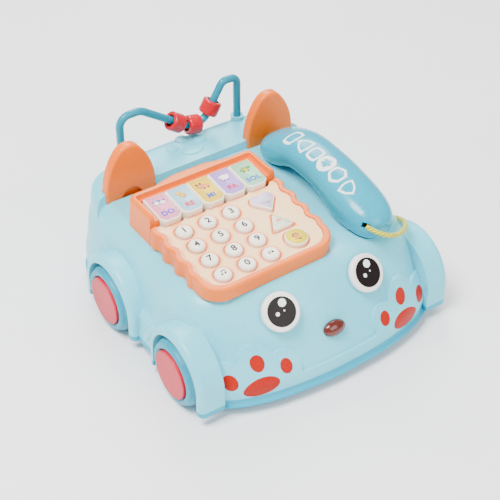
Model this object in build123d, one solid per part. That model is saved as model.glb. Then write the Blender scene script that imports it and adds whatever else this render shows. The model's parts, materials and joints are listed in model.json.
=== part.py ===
from build123d import *
import os
from math import cos, radians, sin, tan

os.makedirs("parts", exist_ok=True)

# A toddler's push-along telephone: a rounded animal-faced car on four wheels.
# Frame: millimetres, +Z up, the face looks along -Y, +X is the handset's side.
# Origin: on the floor, under the middle of the body.

# ---- driving dimensions ----
side_x = 97.0            # half width of the body at the bottom
front_y = -107.5         # front of the body at the bottom
back_y = 108.0           # back of the body at the bottom
rim_bottom = 6.0         # underside of the base plate
shell_bottom = 9.0       # lower edge of the upper shell
deck_z = 75.0            # top deck
platform_z = 82.0        # raised step behind the keyboard
platform_front = 68.5
wall = 2.4               # moulded wall thickness
gap = 0.3                # usual clearance between separate mouldings

wheel_r = 24.6
wheel_out = 106.6        # outer face of a wheel
wheel_width = 17.0
hub_disc_r = 17.6
hub_face = 107.8         # outer face of a hub disc
axle_r = 2.0
axle_fit = 0.06          # radial running clearance of the axle
front_axle_y = -59.2
rear_axle_y = 29.4
arch_r = 33.5            # outer radius of a wheel arch
arch_out = 104.0         # outer face of a wheel arch
well_r = 27.6            # inner radius of a wheel well
well_in = 87.5           # inner face of a wheel well

pad_x = -26.5            # keypad's middle
pad_y = -30.0
pad_z = 86.1
pad_tilt = 4.3           # degrees, rising towards the back
pad_half = 52.0
pad_rim = 2.0            # rim height above the plate
button_r = 6.0
button_height = 3.2      # above the plate
column_u = (-34.0, -15.1, 3.7)
row_v = (24.5, 8.5, -7.5, -23.5)
heart_uv = (29.0, 24.5)
triangle_uv = (26.0, -2.0)
round_uv = (27.0, -19.6)
round_r = 8.1

key_count = 5
key_pitch = 17.4
key_width = 16.8
key_front = 36.5         # in the keypad's own plane
key_back = 64.0
key_top = 4.8
key_bottom = -3.4

ear_x = 59.6
ear_y = 71.0             # middle of the ear's thickness
ear_thick = 8.0
ear_tip = 116.6
ear_base = 67.0

wire_y = 97.5
wire_r = 2.9
wire_foot = 50.0
bead_r = 7.3
bead_bore = 4.5
bead_length = 11.0

handset_x = 57.0
cord_r = 1.7
grommet_y = 10.0
grommet_z = 60.5
grommet_x = 93.0         # outer face of the grommet

eye_r = 13.5
eye_x = 35.2
eye_y = -82.6
eye_z = 62.3
eye_tilt = 40.0          # degrees that the eye's axis rises above level

box_x, box_y, box_z = 30.0, -15.0, 19.0     # battery box: half sizes in x, y, and height
box_centre_y = 64.0
switch_y = -29.0

def save(shape, name):
    shape.label = name
    export_step(shape, f"parts/{name}.step")


def mirrored(points):
    """Half outline from front middle to back middle, completed on the other side."""
    return points + [(-x, y) for x, y in reversed(points[1:-1])]


# ---- body shell ----
def plan(z, half, front, back, soft=1.0):
    """Closed smooth plan outline of the body at one height."""
    right = [(0, front), (0.28 * half, front + 1.2 * soft), (0.52 * half, front + 4.3 * soft),
             (0.72 * half, front + 9.8 * soft), (0.87 * half, front + 17.5 * soft),
             (0.965 * half, front + 29 * soft), (half, front + 50 * soft), (half, 0),
             (0.995 * half, back - 52), (0.965 * half, back - 26), (0.87 * half, back - 9.5),
             (0.66 * half, back - 2.2), (0.35 * half, back - 0.5), (0, back)]
    return make_face(Spline([(x, y, z) for x, y in mirrored(right)], periodic=True))


# height, half width, front, back of the body, and of the step that rises out of its back part
body_levels = [(shell_bottom, 97.0, front_y + 0.5, back_y), (20, 95.7, -104.3, 107.7),
               (32, 94.2, -99.2, 107.0), (44, 92.6, -92.8, 106.3), (55, 91.0, -86.3, 105.6),
               (64, 88.8, -79.8, 104.6), (70, 86.0, -75.2, 102.8), (73.4, 82.5, -71.0, 99.5),
               (deck_z, 78.5, -66.5, 95.0)]
step_levels = [(52, 89.0, -70.0, 103.4), (60, 89.2, -70.0, 104.1), (67, 88.9, -70.0, 104.7),
               (74, 88.1, -70.0, 104.2), (79, 86.0, -70.0, 102.5), (81.3, 83.0, -70.0, 99.5),
               (platform_z, 78.0, -70.0, 94.5)]


def body_form(levels, inset=0.0):
    """Solid form through the levels; inset moves every wall inwards."""
    faces = []
    for z, half, front, back in levels:
        soft = 1.0 - 0.25 * (z - shell_bottom) / (deck_z - shell_bottom)
        faces.append(plan(z, half - inset, front + inset, back - inset, soft))
    return loft(faces)


def cavity_form():
    """Hollow inside of the shell, in flat facets, at least one wall away from the outside."""
    levels = [(shell_bottom - 0.5, 93.5, -103.5, 104.5), (50, 88.5, -85.5, 102.6),
              (deck_z - wall, 75.0, -62.5, 93.0)]
    faces = []
    for z, half, front, back in levels:
        right = [(0.35 * half, front + 2), (0.8 * half, front + 13.5), (half - 1.5, front + 45),
                 (half - 1, back - 30), (0.8 * half, back - 7), (0.35 * half, back - 2)]
        left = [(-x, y) for x, y in reversed(right)]
        faces.append(make_face(Polyline([(x, y, z) for x, y in right + left], close=True)))
    return loft(faces, ruled=True)


def block(x0, x1, y0, y1, z0, z1):
    return Pos((x0 + x1) / 2, (y0 + y1) / 2, (z0 + z1) / 2) * Box(x1 - x0, y1 - y0, z1 - z0)


def rod_x(x0, x1, y, z, radius):
    return Pos((x0 + x1) / 2, y, z) * Rot(0, 90, 0) * Cylinder(radius, abs(x1 - x0))


def body_block():
    """Body with the deck's round shoulders and the raised step behind the keyboard."""
    step = body_form(step_levels) & block(-120, 120, platform_front, 130, 40, 100)
    return body_form(body_levels) + step


def paw_prism(side):
    """Three toe lobes and a palm, seen from the front, through the whole nose."""
    profile = Pos(side * 60.0, 12.0) * Rectangle(58, 24)
    for x, z, r in ((41.4, 29.5, 11.0), (60.2, 36.0, 12.5), (79.0, 28.0, 11.5)):
        profile += Pos(side * x, z) * Circle(r)
    profile += Pos(side * 61, 22) * Rectangle(46, 20)
    return extrude(Plane.XZ * profile, 120)


def bumper_prism():
    return extrude(Plane.XZ * (Pos(0, 11) * Rectangle(90, 23)), 120)


def arch(side, y):
    """Wheel arch that stands proud of the body side."""
    inner_x = side * (well_in - 2)
    outer = rod_x(inner_x, side * arch_out, y, wheel_r, arch_r)
    outer += block(min(inner_x, side * arch_out), max(inner_x, side * arch_out),
                   y - arch_r, y + arch_r, shell_bottom, wheel_r)
    outer = outer & block(-120, 120, -140, 140, shell_bottom, 90)
    rim = outer.faces().sort_by(Axis.X)[-1 if side > 0 else 0]
    keep = [e for e in rim.edges() if e.center().Z > shell_bottom + 1]
    return fillet(keep, 4.0)


def sill(side):
    """Low running board between the two arches, with a raised lozenge."""
    y0, y1 = front_axle_y + 20, rear_axle_y - 20
    profile = Polyline((88, shell_bottom), (99.5, shell_bottom), (97.5, 30), (92, 38), (88, 38),
                       close=True)
    board = extrude(Plane.XZ.offset(-y1) * make_face(profile), y1 - y0)
    lozenge = Pos(96.6, (y0 + y1) / 2 - 2, 25) * Rot(0, -8, 0) * Rot(32, 0, 0) * Box(5, 7, 19)
    board += fillet(lozenge.edges(), 2.2)
    return board if side > 0 else board.mirror(Plane.YZ)


# ---- handset ----
# y, half width, underside z, top z
handset_stations = [(-72.0, 5.0, 79.5, 87.0), (-69.5, 10.0, 75.8, 91.3), (-64.0, 14.2, 73.0, 95.2),
                    (-55.0, 17.2, 72.3, 99.0), (-45.0, 18.5, 72.3, 101.8), (-36.0, 18.7, 74.0, 103.8),
                    (-26.0, 18.2, 79.0, 105.3), (-12.0, 17.7, 83.6, 106.9), (4.0, 17.7, 84.8, 107.5),
                    (18.0, 18.2, 83.3, 107.0), (28.0, 18.8, 78.4, 105.4), (36.0, 19.1, 74.2, 102.9),
                    (45.0, 18.6, 72.3, 98.8), (53.0, 16.0, 73.4, 93.8), (58.0, 11.5, 76.0, 89.4),
                    (60.5, 5.5, 79.6, 85.8)]


def handset_form(grow=0.0):
    """Arched grip with a rounded lobe at each end; grow offsets the skin."""
    faces = []
    last = len(handset_stations) - 1
    for i, (y, half, low, high) in enumerate(handset_stations):
        shift = grow if i == last else -grow if i == 0 else 0.0
        mid, tall = (low + high) / 2, (high - low) / 2 + grow
        ring = []
        for step in range(12):
            a = radians(30 * step)
            squareness = 0.84 if sin(a) < 0 else 0.92
            c, s = cos(a), sin(a)
            ring.append((handset_x + (half + grow) * abs(c) ** squareness * (1 if c > 0 else -1),
                         y + shift, mid + tall * abs(s) ** squareness * (1 if s > 0 else -1)))
        faces.append(Face(Wire([Spline(ring, periodic=True)])))
    return loft(faces)


def handset_parting():
    """Everything below the seam between the handset's two halves."""
    seam = [(-80, 80), (-60, 82), (-35, 86), (-10, 93), (5, 94.5), (20, 93), (40, 85.5), (66, 81)]
    edge = Spline([(handset_x, y, z) for y, z in seam])
    below = Polyline((handset_x, 66, 81), (handset_x, 66, 60), (handset_x, -80, 60), (handset_x, -80, 80))
    return Pos(-40, 0, 0) * extrude(Face(Wire([edge] + below.edges())), 80, dir=(1, 0, 0))


# ---- keypad's own plane ----
pad = Location(Plane(origin=(pad_x, pad_y, pad_z), x_dir=(1, 0, 0),
                     z_dir=(0, -sin(radians(pad_tilt)), cos(radians(pad_tilt)))))


def wavy_side(u, v0, v1, count, depth):
    """Row of shallow scallops along a side of the keypad, as tangent arcs."""
    step = (v1 - v0) / (2 * count)
    arcs = []
    for i in range(int(2 * count)):
        bulge = u + (depth / 2 if i % 2 == 0 else -depth / 2)
        start = v0 + i * step
        arcs.append(ThreePointArc((u, start), (bulge, start + step / 2), (u, start + step)))
    return arcs


def pad_outline(inset=0.0):
    half, front, back = pad_half - inset, -37.5 + inset, 38.5
    side_front = -15.0
    front_edge = FilletPolyline((-half, side_front), (-half, front), (half, front + 1.5), (half, side_front),
                                radius=[16.0 - 0.6 * inset, 17.0 - 0.6 * inset])
    sides = wavy_side(half, side_front, back, 3.5, 2.4) + wavy_side(-half, back, side_front, 3.5, -2.4)
    return make_face(Wire(front_edge.edges() + sides + [Line((half, back), (-half, back))]))


def heart(size, rise=0.0):
    """Heart-shaped face, point towards -v, as wide as 2 x size."""
    r = size * 0.54
    lobes = Pos(-size + r, rise) * Circle(r) + Pos(size - r, rise) * Circle(r)
    point = Polyline((-size + 0.18 * r, rise - 0.55 * r), (0, rise - 1.42 * size),
                     (size - 0.18 * r, rise - 0.55 * r), (0, rise + 0.42 * r), close=True)
    return fillet((lobes + make_face(point)).vertices(), 1.2)


def triangle(size):
    return fillet(RegularPolygon(size, 3, rotation=90).vertices(), 2.0)


def flat(shape2d, low, high, u=0.0, v=0.0):
    """Prism standing in the keypad's own plane."""
    return extrude(Pos(u, v, low) * shape2d, high - low)


# ---- nodes: casings ----
def ear_plate(side, grow=0.0):
    """Pointed round ear standing on the body; grow gives the slot that holds it."""
    base = ear_base - grow
    half = 20.0 + grow
    outline = Wire([Line((-half, base), (half, base)), Line((half, base), (half, 78)),
                    ThreePointArc((half, 78), (half - 2.3, 96), (9.6, 111.6 + grow)),
                    ThreePointArc((9.6, 111.6 + grow), (0, ear_tip + grow), (-9.6, 111.6 + grow)),
                    ThreePointArc((-9.6, 111.6 + grow), (-half + 2.3, 96), (-half, 78)),
                    Line((-half, 78), (-half, base))])
    plate = extrude(Plane.XZ * make_face(outline), ear_thick / 2 + grow, both=True)
    return Pos(side * ear_x, ear_y, 0) * plate


def ear(side):
    plate = ear_plate(side)
    faces = plate.faces().sort_by(Axis.Y)
    rounded = [e for f in (faces[0], faces[-1]) for e in f.edges() if e.center().Z > ear_base + 1]
    plate = fillet(rounded, 1.8)
    field = ear_plate(side).faces().sort_by(Axis.Y)[0].moved(Location((-side * ear_x, 0, -84)))
    hollow = extrude(scale(field, (0.66, 1, 0.70)), 4.0, both=True)
    return plate - Pos(side * ear_x, -1.6, 84) * hollow


def face_relief():
    """Paws and bumper standing proud of the front."""
    relief = paw_prism(1) + paw_prism(-1) + bumper_prism()
    relief &= block(-120, 120, -120, 120, shell_bottom, deck_z - 20)
    return body_form(body_levels, inset=-1.7) & relief


def wheel_well(side, y):
    well = rod_x(side * well_in, side * 115, y, wheel_r, well_r)
    well += block(min(side * well_in, side * 115), max(side * well_in, side * 115),
                  y - well_r, y + well_r, 0, wheel_r)
    slot = block(min(side * 80, side * 90), max(side * 80, side * 90), y - axle_r - 1.5, y + axle_r + 1.5,
                 0, wheel_r + axle_r + 1.5)
    return well + slot


def upper_shell():
    wheels = [(side, y) for side in (-1, 1) for y in (front_axle_y, rear_axle_y)]
    body = body_block() + face_relief()
    body -= cavity_form()
    body -= block(-72, 72, platform_front + 10, 95, 60, platform_z - wall)
    body += sill(1)
    body += sill(-1)
    for side, y in wheels:
        body += arch(side, y)
    for side, y in wheels:
        body -= wheel_well(side, y)
    body += block(33, 78, -55, 62, 69.5, deck_z - wall)
    body -= handset_form(grow=0.6)
    body -= pad * flat(Rectangle(93, 98), -20, 12, 0, 15)
    for x, y, top in boss_places:
        body += Pos(x, y, (shell_bottom + top) / 2) * Cylinder(4.0, top - shell_bottom)
        body -= Pos(x, y, 20) * Cylinder(1.25, 24)
    for side in (-1, 1):
        body -= ear_plate(side, grow=0.15)
        body -= Pos(side * wire_foot, wire_y, platform_z) * Cylinder(5.0, 12)
        body -= eye_seat(side)
    body -= Pos(0, front_y + 20, 40.2) * Rot(90, 0, 0) * Cylinder(2.6, 30)
    body -= rod_x(80, 110, grommet_y, grommet_z, 3.2)
    return body


# x, y of the screw posts that join shell and base, and the height at which each meets the wall
boss_places = [(-80, -12, 66), (80, -12, 66), (-60, 88, 81), (60, 88, 81), (-52, -79, 50), (52, -79, 50)]


def base_plate():
    """Coloured floor tray: visible rim, bearing blocks, battery box."""
    rim = extrude(plan(rim_bottom, side_x, front_y - 0.5, back_y), shell_bottom - rim_bottom)
    rim = chamfer(rim.edges().sort_by(Axis.Z)[0], 0.8)
    tray = rim - extrude(plan(rim_bottom + 2, side_x - 5, front_y + 5.5, back_y - 5), 2)
    for side in (-1, 1):
        for y in (front_axle_y, rear_axle_y):
            tray -= block(min(side * (well_in - 2.5), side * 115), max(side * (well_in - 2.5), side * 115),
                          y - well_r - 2.4, y + well_r + 2.4, 0, 20)
    for y in (front_axle_y, rear_axle_y):
        for x in (-70, 70):
            tray += block(x - 5, x + 5, y - 7, y + 7, rim_bottom + 1, wheel_r + 7)
        tray -= rod_x(-90, 90, y, wheel_r, axle_r + axle_fit)
    walls = block(-box_x - 2, box_x + 2, box_centre_y - 31, box_centre_y + 31, rim_bottom, rim_bottom + box_z + 2)
    tray += walls
    tray -= block(-box_x, box_x, box_centre_y - 29, box_centre_y + 29, 0, rim_bottom + box_z)
    tray -= block(-box_x - 0.1, box_x + 0.1, box_centre_y - 31.1, box_centre_y + 31.1, 0, rim_bottom + 2.3)
    tray += block(-7.2, 7.2, box_centre_y + 30.5, box_centre_y + 38, rim_bottom + 2, rim_bottom + 10)
    tray -= block(-5.2, 5.2, box_centre_y + 30.5, box_centre_y + 38, 0, rim_bottom + 3.3)
    tray -= Pos(0, box_centre_y + 34, rim_bottom + 6) * Cylinder(1.1, 12)
    tray -= block(-7.5, 7.5, switch_y - 3, switch_y + 3, 0, 20)
    for x, y, _ in boss_places:
        tray += Pos(x, y, rim_bottom + 2) * Cylinder(5.5, 2 * (shell_bottom - rim_bottom - 2))
        tray -= Pos(x, y, rim_bottom) * Cylinder(3.4, 3.6)
        tray -= Pos(x, y, rim_bottom) * Cylinder(1.7, 10)
    for x in (-10, 10):
        for y in (-82, -70):
            tray -= Pos(x, y, rim_bottom) * Cylinder(1.5, 10)
    return tray


def keypad_housing():
    shell = pad * flat(pad_outline(), -12, pad_rim)
    top = shell.faces().sort_by(Axis.Z)[-1]
    shell = fillet(top.edges().filter_by(GeomType.LINE, reverse=True), 1.6)
    shell -= pad * flat(pad_outline(4.4), 0, pad_rim + 1)
    shell -= pad * flat(pad_outline(2.2), -14, -3.4)
    shell -= block(-100, 60, -90, 30, 60, deck_z)
    shell -= pad * flat(Rectangle(4.6 + key_count * key_pitch, 30), -14, pad_rim + 1, 0, 38.5 + 12.8)
    for u in column_u:
        for v in row_v:
            shell -= pad * flat(Circle(button_r + gap), -6, 4, u, v)
    for shape, place in big_buttons(gap):
        shell -= pad * flat(shape, -6, 4, *place)
    return shell


def big_buttons(grow=0.0):
    return [(heart(9.2 + grow), heart_uv), (triangle(10.4 + grow * 2), triangle_uv),
            (Circle(round_r + grow), round_uv)]


def keypad_plate():
    plate = pad * flat(pad_outline(4.7), 0, 0.9)
    for u in column_u:
        for v in row_v:
            plate -= pad * flat(Circle(button_r + 1.3), -1, 4, u, v)
    for shape, place in big_buttons(1.5):
        plate -= pad * flat(shape, -1, 4, *place)
    for i in range(key_count):
        plate -= pad * flat(key_face(1.6), -1, 4, key_u(i), 0)
    return plate


def key_u(i):
    return (i - (key_count - 1) / 2) * key_pitch


def key_face(grow=0.0):
    """Key seen from above: straight sides, front corners cut off."""
    half = key_width / 2 + grow
    front = key_front - grow
    return make_face(Polyline((-half, key_back), (-half, front + 3.4), (-half + 3.4, front),
                              (half - 3.4, front), (half, front + 3.4), (half, key_back), close=True))


def piano_key(i):
    body = flat(key_face(), key_bottom, key_top)
    body = fillet(body.edges().filter_by(Axis.Z), 0.8)
    body = fillet(body.faces().sort_by(Axis.Z)[-1].edges(), 1.0)
    body -= Pos(0, (key_front + key_back) / 2 + 1, key_bottom + 1.5) * Box(key_width - 3.6, 26, 5)
    body += Pos(0, key_back + 1.5, -1.2) * Box(key_width - 2, 5, 2.2)
    body += Pos(0, 45, -2.2) * Box(4, 4, 6.8)
    return pad * Pos(key_u(i), 0, 0) * body


def button_stem(cap, u, v, foot):
    """Cap on a plunger with a retaining flange under the keypad."""
    flange = flat(foot, -5.4, -4.2)
    return pad * Pos(u, v, 0) * (cap + flange)


def number_button(u, v):
    cap = flat(Circle(button_r), -5.4, button_height)
    cap = fillet(cap.faces().sort_by(Axis.Z)[-1].edges(), 1.9)
    return button_stem(cap, u, v, Circle(button_r + 1.1))


def shape_button(shape, foot, place):
    cap = flat(shape, -5.4, button_height)
    cap = fillet(cap.faces().sort_by(Axis.Z)[-1].edges(), 0.9)
    return button_stem(cap, *place, foot)


def piano_hood():
    """Three-sided frame round the keys, open towards the buttons."""
    left, right = pad_x - 52.3, pad_x + 52.3
    low = deck_z + 0.05
    outline = FilletPolyline((right, 9.4), (right, 44), (right - 22, 43.5), (pad_x + 13, 47.5),
                             (pad_x - 13, 47.5), (left + 22, 43.5), (left, 44), (left, 9.4),
                             radius=[8, 24, 20, 20, 24, 8])
    base = make_face(Wire(outline.edges() + [Line((left, 9.4), (right, 9.4))]))
    form = Pos(0, 0, low) * extrude(base, 22.5, taper=4.5)
    form = fillet(form.faces().sort_by(Axis.Z)[-1].edges(), 3.0)
    inner = key_count * key_pitch / 2 + 0.6
    form -= block(pad_x - inner, pad_x + inner, 0, 34.8, 70, 110)
    form -= pad * Pos(0, 60, -8.5) * Box(2 * inner, 18, 20)
    ledge = block(pad_x - inner - 3, pad_x + inner + 3, 0, 37.2, 93.5, 110)
    form -= fillet(ledge.edges().filter_by(Axis.Z), 2.0)
    return form


# ---- nodes: face ----
def eye_frame(side):
    tilt = radians(eye_tilt)
    turn = radians(8) * side
    return Location(Plane(origin=(side * eye_x, eye_y, eye_z), x_dir=(cos(turn), sin(turn), 0),
                          z_dir=(sin(turn) * cos(tilt), -cos(turn) * cos(tilt), sin(tilt))))


def eye_seat(side):
    return eye_frame(side) * Pos(0, 0, 2) * Cylinder(eye_r + 0.15, 6) + eye_frame(side) * Cylinder(4.2, 24)


def eye(side):
    dome = Pos(0, 0, 0.9) * Cylinder(eye_r, 3.8)
    dome = fillet(dome.faces().sort_by(Axis.Z)[-1].edges(), 1.5)
    return eye_frame(side) * (dome + Pos(0, 0, -4.5) * Cylinder(4.0, 8))


def nose():
    ball = scale(Sphere(1.0), (8.6, 4.2, 5.6))
    return Pos(0, -96.0, 40.2) * Rot(-28, 0, 0) * ball - body_form(body_levels) + Pos(
        0, front_y + 21, 40.2) * Rot(90, 0, 0) * Cylinder(2.5, 14)


# ---- nodes: running gear ----
def wheel(side, y):
    half = wheel_width
    r0, r1 = 17.9, wheel_r
    profile = Face(Wire([Line((axle_r, 0), (axle_r, half - 6.0)), Line((axle_r, half - 6.0), (r0, half - 6.0)),
                         Line((r0, half - 6.0), (r0, half - 1.2)),
                         ThreePointArc((r0, half - 1.2), (r0 + 2.6, half - 0.1), (r1 - 1.6, half - 2.6)),
                         ThreePointArc((r1 - 1.6, half - 2.6), (r1 - 0.4, half - 4.4), (r1, half - 6.5)),
                         Line((r1, half - 6.5), (r1, 2.0)),
                         ThreePointArc((r1, 2.0), (r1 - 0.6, 0.6), (r1 - 2, 0)),
                         Line((r1 - 2, 0), (r1 - 4, 0)), Line((r1 - 4, 0), (r1 - 4, half - 9.5)),
                         Line((r1 - 4, half - 9.5), (7, half - 9.5)), Line((7, half - 9.5), (7, 0)),
                         Line((7, 0), (axle_r, 0))]))
    turned = revolve(Plane.XZ * profile, Axis.Z)
    return Pos(side * (wheel_out - wheel_width), y, wheel_r) * Rot(0, side * 90, 0) * turned


def hub_disc(side, y):
    disc = Pos(0, 0, -1.5) * Cylinder(hub_disc_r, 3.0)
    disc = fillet(disc.faces().sort_by(Axis.Z)[-1].edges(), 0.9)
    disc += Pos(0, 0, -5.1) * Cylinder(4.5, 4.2)
    return Pos(side * hub_face, y, wheel_r) * Rot(0, side * 90, 0) * disc


def axle(y):
    return rod_x(-(hub_face - 7.5), hub_face - 7.5, y, wheel_r, axle_r)


# ---- nodes: bead wire ----
wire_route = [(-wire_foot, 77), (-wire_foot, 119.3), (-32.5, 119.2), (4.5, 93.0), (19.5, 89.8), (37.5, 119.6),
              (wire_foot, 118.6), (wire_foot, 77)]
wire_radii = [8.5, 13.0, 14.0, 10.5, 6.4, 5.6]


def bead_wire():
    points = [(x, wire_y, z) for x, z in wire_route]
    path = FilletPolyline(*points, radius=wire_radii)
    ring = Plane(origin=points[0], z_dir=(0, 0, 1)) * Circle(wire_r)
    return sweep(ring, path=path, transition=Transition.RIGHT)


def wire_collars():
    ring = Cylinder(4.9, 9) - Cylinder(wire_r, 30)
    ring = Pos(0, 0, platform_z - 1.5) * ring
    return Compound([Pos(side * wire_foot, wire_y, 0) * ring for side in (-1, 1)])


def bead(x, z, slope):
    ring = Cylinder(bead_r, bead_length)
    ring = fillet(ring.edges(), 1.6)
    ring -= Cylinder(bead_bore, 30)
    return Pos(x, wire_y, z) * Rot(0, 90 - slope, 0) * ring


bead_places = [(-4.0, 98.6, -35.3), (10.5, 91.2, -12.0), (26.2, 100.9, 58.9)]


# ---- nodes: handset and cord ----
def handset_half(upper):
    form = handset_form() - handset_form(grow=-2.2)
    below = handset_parting()
    hole = Plane(origin=handset_hole, z_dir=(2, -7.0, -0.7))
    form -= hole * Pos(0, 0, 3) * Cylinder(cord_r + 0.4, 12)
    half = form - below if upper else form & below
    if not upper:
        for y in handset_screw_y:
            half += (Pos(handset_x, y, 80.5) * Cylinder(3.4, 12)) & handset_form(grow=-0.5) & below
            half -= Pos(handset_x, y, 76) * Cylinder(1.2, 30)
            half -= Pos(handset_x, y, 72.1) * Cylinder(2.6, 8)
    else:
        for y in handset_screw_y:
            post = (Pos(handset_x, y, 92.5) * Cylinder(3.4, 16)) & handset_form(grow=-0.5)
            half += post - below
            half -= Pos(handset_x, y, 88) * Cylinder(1.1, 10)
    return half


handset_screw_y = (-48.0, 40.0)


def screw(x, y, head_z, length, head_r=2.4, shank_r=1.1):
    body = Pos(x, y, head_z + length / 2) * Cylinder(shank_r, length)
    head = Pos(x, y, head_z + 0.8) * Cylinder(head_r, 1.6)
    cross = Pos(x, y, head_z + 0.2) * (Box(2.8, 0.6, 1.0) + Box(0.6, 2.8, 1.0))
    return body + head - cross


cord_route = [(47.2, -72.2, 87.0), (53.0, -78.8, 84.4), (61.5, -79.5, 80.8), (70.5, -76.5, 77.8),
              (79.5, -69.5, 73.8), (88.5, -58.5, 67.5), (93.5, -48.0, 60.5), (96.0, -38.5, 54.8),
              (99.5, -29.5, 46.5), (104.5, -21.0, 37.5), (110.0, -11.0, 32.0), (113.0, 0.0, 35.0),
              (112.5, 7.5, 44.0), (110.5, 10.3, 52.5), (103.5, 10.5, 60.0),
              (grommet_x, grommet_y, grommet_z)]
handset_hole = (46.0, -66.8, 87.6)     # inner end of the hole that the cord comes out of


def cord():
    runs = [(Vector(*b) - Vector(*a)) for a, b in zip(cord_route, cord_route[1:])]
    radii = []
    for a, b in zip(runs, runs[1:]):
        turn = radians(a.get_angle(b))
        radii.append(0.45 * min(a.length, b.length) / tan(turn / 2))
    print("cord radii", [round(r, 1) for r in radii], "runs", [round(r.length, 1) for r in runs])
    path = FilletPolyline(*cord_route, radius=radii)
    ring = Plane(origin=cord_route[0], z_dir=runs[0]) * Circle(cord_r)
    tube = sweep(ring, path=path)
    print("cord length", round(path.length, 1), "volume ratio",
          round(tube.volume / (3.14159265 * cord_r ** 2 * path.length), 4))
    return tube


def cord_grommet():
    flange = rod_x(grommet_x - 2.0, grommet_x, grommet_y, grommet_z, 5.0)
    flange = fillet(flange.edges().sort_by(Axis.X)[-1], 0.8)
    return flange + rod_x(grommet_x - 9.0, grommet_x - 1.9, grommet_y, grommet_z, 3.0)


# ---- nodes: electrics ----
def circuit_board():
    board = pad * Pos(0, 12, -9.6) * Box(86, 90, 1.6)
    chip = pad * Pos(10, 5, -11.2) * Box(14, 14, 1.6)
    return board + chip


def button_mat():
    mat = pad * Pos(0, 12, -8.2) * Box(86, 84, 1.2)
    for u in column_u:
        for v in row_v:
            mat += pad * Pos(u, v, -7.7) * Cylinder(4, 0.6)
    return mat


def speaker():
    cone = Pos(0, -76, 10.0) * Cylinder(18, 4) + Pos(0, -76, 15.5) * Cylinder(11, 8)
    return cone


def battery_door():
    door = block(-box_x + 0.2, box_x - 0.2, box_centre_y - 30.8, box_centre_y + 30.8, rim_bottom, rim_bottom + 2)
    door += block(-5, 5, box_centre_y + 30, box_centre_y + 37.8, rim_bottom, rim_bottom + 3)
    door -= Pos(0, box_centre_y + 34, rim_bottom) * Cylinder(2.6, 3.4)
    door -= Pos(0, box_centre_y + 34, rim_bottom) * Cylinder(1.3, 10)
    return door


def batteries():
    cells = []
    for i in (-1, 0, 1):
        cell = Cylinder(7.1, 48.5) + Pos(0, 0, 25.0) * Cylinder(2.7, 1.6)
        cells.append(Pos(i * 15.2, box_centre_y, rim_bottom + 2.3 + 7.4) * Rot(90 if i else -90, 0, 0) * cell)
    return Compound(cells)


def battery_contacts():
    plates = []
    for i in (-1, 0, 1):
        for end in (-1, 1):
            plates.append(Pos(i * 15.2, box_centre_y + end * 28.6, rim_bottom + 10) * Box(11, 0.6, 11))
    return Compound(plates)


def power_switch():
    knob = block(-7, -1, switch_y - 2.6, switch_y + 2.6, rim_bottom - 0.4, rim_bottom + 3)
    return knob + block(-11, 3, switch_y - 5, switch_y + 5, rim_bottom + 2.3, rim_bottom + 4.3)


def all_nodes():
    yield "upper_shell", upper_shell()
    yield "base_plate", base_plate()
    yield "keypad_housing", keypad_housing()
    yield "keypad_plate", keypad_plate()
    yield "piano_hood", piano_hood()
    for i in range(key_count):
        yield f"piano_key_{i + 1}", piano_key(i)
    names = ["1", "2", "3", "4", "5", "6", "7", "8", "9", "melody", "0", "mode"]
    for k, name in enumerate(names):
        yield f"button_{name}", number_button(column_u[k % 3], row_v[k // 3])
    feet = [heart(10.3), triangle(12.2), Circle(round_r + 1.1)]
    for name, (shape, place), foot in zip(("heart", "triangle", "round"), big_buttons(), feet):
        yield f"{name}_button", shape_button(shape, foot, place)
    for side, name in ((-1, "left"), (1, "right")):
        yield f"ear_{name}", ear(side)
        yield f"eye_{name}", eye(side)
        for end, y in (("front", front_axle_y), ("rear", rear_axle_y)):
            yield f"wheel_{end}_{name}", wheel(side, y)
            yield f"hub_disc_{end}_{name}", hub_disc(side, y)
    yield "nose", nose()
    yield "axle_front", axle(front_axle_y)
    yield "axle_rear", axle(rear_axle_y)
    yield "bead_wire", bead_wire()
    yield "wire_collars", wire_collars()
    for i, place in enumerate(bead_places):
        yield f"bead_{i + 1}", bead(*place)
    yield "handset_top", handset_half(True)
    yield "handset_bottom", handset_half(False)
    yield "handset_screws", Compound([screw(handset_x, y, 74.4, 17) for y in handset_screw_y])
    yield "cord", cord()
    yield "cord_grommet", cord_grommet()
    yield "circuit_board", circuit_board()
    yield "button_mat", button_mat()
    yield "speaker", speaker()
    yield "battery_door", battery_door()
    yield "door_screw", screw(0, box_centre_y + 34, rim_bottom + 0.1, 8.5)
    yield "batteries", batteries()
    yield "battery_contacts", battery_contacts()
    yield "power_switch", power_switch()
    yield "case_screws", Compound([screw(x, y, rim_bottom + 0.1, 14, 3.0, 1.25) for x, y, _ in boss_places])


for node, shape in all_nodes():
    save(shape, node)
    print(node, round(shape.volume))
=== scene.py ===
import bpy
import bmesh
import json
from math import cos, pi, radians, sin
from mathutils import Matrix, Vector
from mathutils.bvhtree import BVHTree

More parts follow.
